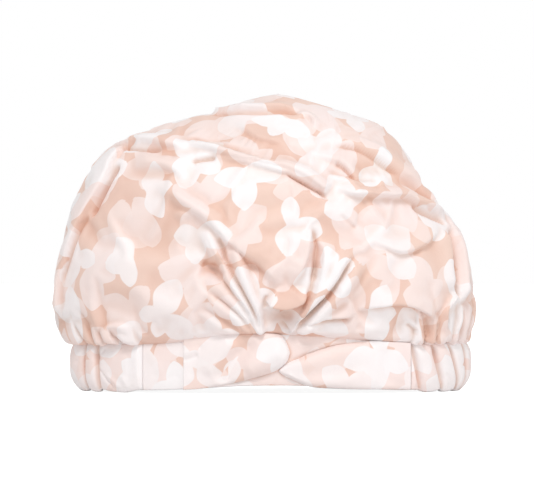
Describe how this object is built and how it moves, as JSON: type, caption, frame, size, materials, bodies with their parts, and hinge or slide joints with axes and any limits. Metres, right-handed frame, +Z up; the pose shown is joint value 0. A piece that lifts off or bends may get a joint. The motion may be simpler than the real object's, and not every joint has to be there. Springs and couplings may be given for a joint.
{
  "type": "shower cap",
  "caption": "Turban shower cap: puffed, pleated crown on a band with a half twist in front and a gathered elastic casing behind.",
  "frame": {"origin": "on the surface that the cap stands on, under the middle of its bounding box", "axes": "+Z up towards the crown, -Y out of the front with the twist, +X to the right as seen from the front"},
  "size_m": [0.2758, 0.1566, 0.1933],
  "materials": {
    "printed_fabric": "smooth woven polyester with a print of soft blush, pale pink and white leaf shapes",
    "band_fabric": "the same printed woven polyester",
    "lining": "thin white waterproof film, satin",
    "facing": "plain blush polyester",
    "binding": "plain blush tape",
    "elastic": "white braided elastic"
  },
  "bodies": {
    "root": {"crown_shell": "printed_fabric", "crown_lining": "lining", "front_band": "band_fabric", "band_facing": "facing", "left_twist_wrap": "band_fabric", "right_twist_wrap": "band_fabric", "back_casing": "band_fabric", "elastic_band": "elastic", "seam_binding": "binding"}
  },
  "joints": []
}
